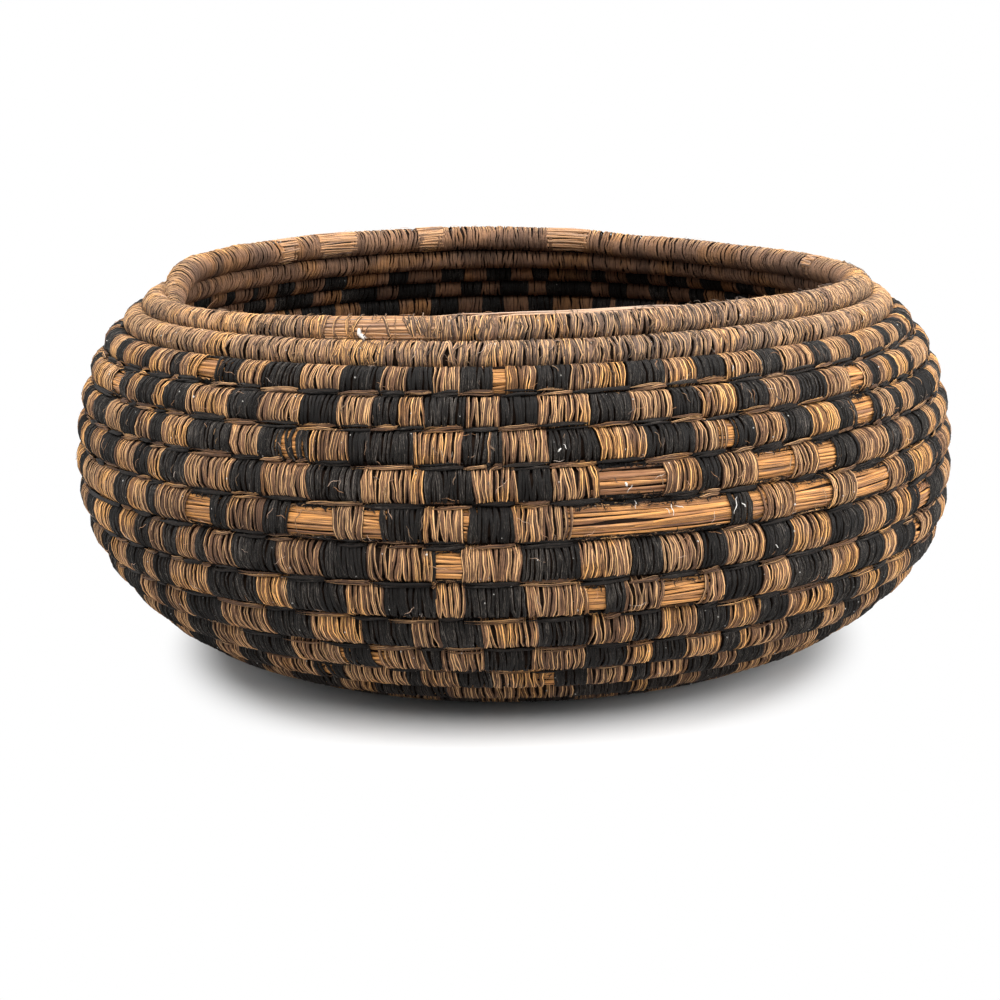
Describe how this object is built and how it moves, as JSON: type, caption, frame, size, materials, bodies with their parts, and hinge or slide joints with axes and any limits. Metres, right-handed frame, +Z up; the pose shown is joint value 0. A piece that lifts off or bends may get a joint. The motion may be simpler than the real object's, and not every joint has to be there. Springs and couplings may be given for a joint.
{
  "type": "coiled basket",
  "caption": "Round coiled basket with an open mouth, sloping shoulder and flat base, wrapped rows sewn edge to edge in a natural and black check.",
  "frame": {"origin": "middle of the base's underside, on the surface that the basket stands on", "axes": "+Z up through the mouth, the pictured front towards -Y, +X to its right"},
  "size_m": [0.3192, 0.3191, 0.1431],
  "materials": {
    "splint_bundle": "split plant stems, golden and cracked along their length",
    "natural_strand": "flat plant strands, aged brown with a low sheen",
    "black_strand": "dyed black plant strands, dusty and matt"
  },
  "bodies": {
    "root": {"foundation_coil": "splint_bundle", "binding_row_01": "natural_strand", "binding_row_02": "natural_strand", "binding_row_03": "natural_strand", "binding_row_04": "natural_strand", "binding_row_05": "natural_strand", "binding_row_06": "natural_strand", "binding_row_07": "natural_strand", "binding_row_08": "natural_strand", "binding_row_09": "natural_strand", "binding_row_10": "natural_strand", "binding_row_11": "natural_strand", "binding_row_12": "natural_strand", "binding_row_13": "natural_strand", "binding_row_14": "natural_strand", "binding_row_15": "natural_strand", "binding_row_16": "natural_strand", "binding_row_17": "natural_strand", "binding_row_18": "natural_strand", "binding_row_19": "natural_strand", "binding_row_20": "natural_strand", "binding_row_21": "natural_strand", "binding_row_22": "natural_strand", "binding_row_23": "natural_strand", "carried_strand_03": "black_strand", "carried_strand_04": "black_strand", "carried_strand_05": "black_strand", "carried_strand_06": "black_strand", "carried_strand_07": "black_strand", "carried_strand_08": "black_strand", "carried_strand_09": "black_strand", "carried_strand_10": "black_strand", "carried_strand_11": "black_strand", "carried_strand_12": "black_strand", "carried_strand_13": "black_strand", "start_knot": "natural_strand"}
  },
  "joints": []
}
